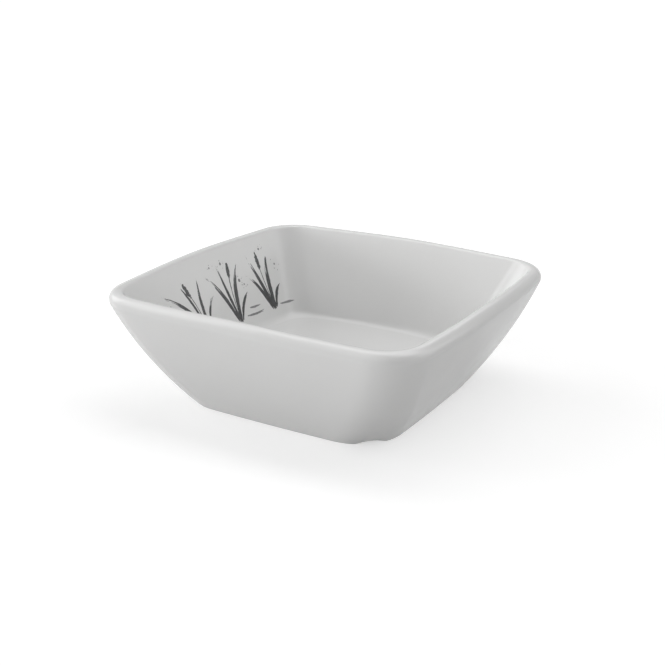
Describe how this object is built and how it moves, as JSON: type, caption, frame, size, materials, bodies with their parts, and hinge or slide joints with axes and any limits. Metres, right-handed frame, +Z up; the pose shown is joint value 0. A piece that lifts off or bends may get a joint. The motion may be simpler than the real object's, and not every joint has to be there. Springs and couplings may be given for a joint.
{
  "type": "square bowl",
  "caption": "Square bowl of white glazed porcelain with rounded corners, flared walls, a thick lip, a low foot ring and a brushed ink pattern on one inner wall.",
  "frame": {"origin": "middle of the ground face of the foot ring, at the bowl's lowest level", "axes": "+Z up through the mouth, X and Y square to the bowl's sides, with the decorated inner wall on the side at -X"},
  "size_m": [0.12, 0.12, 0.0406],
  "materials": {
    "glazed_porcelain": "clear gloss glaze over white porcelain, the foot's ground face bare and matt",
    "dark_ink": "charcoal ceramic ink fired on, satin, dry brush streaks",
    "ink_wash": "thinned grey ceramic ink fired on, satin"
  },
  "bodies": {
    "root": {"bowl_body": "glazed_porcelain", "ink_left_reeds": "dark_ink", "ink_middle_reeds": "dark_ink", "ink_right_reeds": "dark_ink", "ink_ripples": "ink_wash", "ink_specks": "ink_wash"}
  },
  "joints": []
}
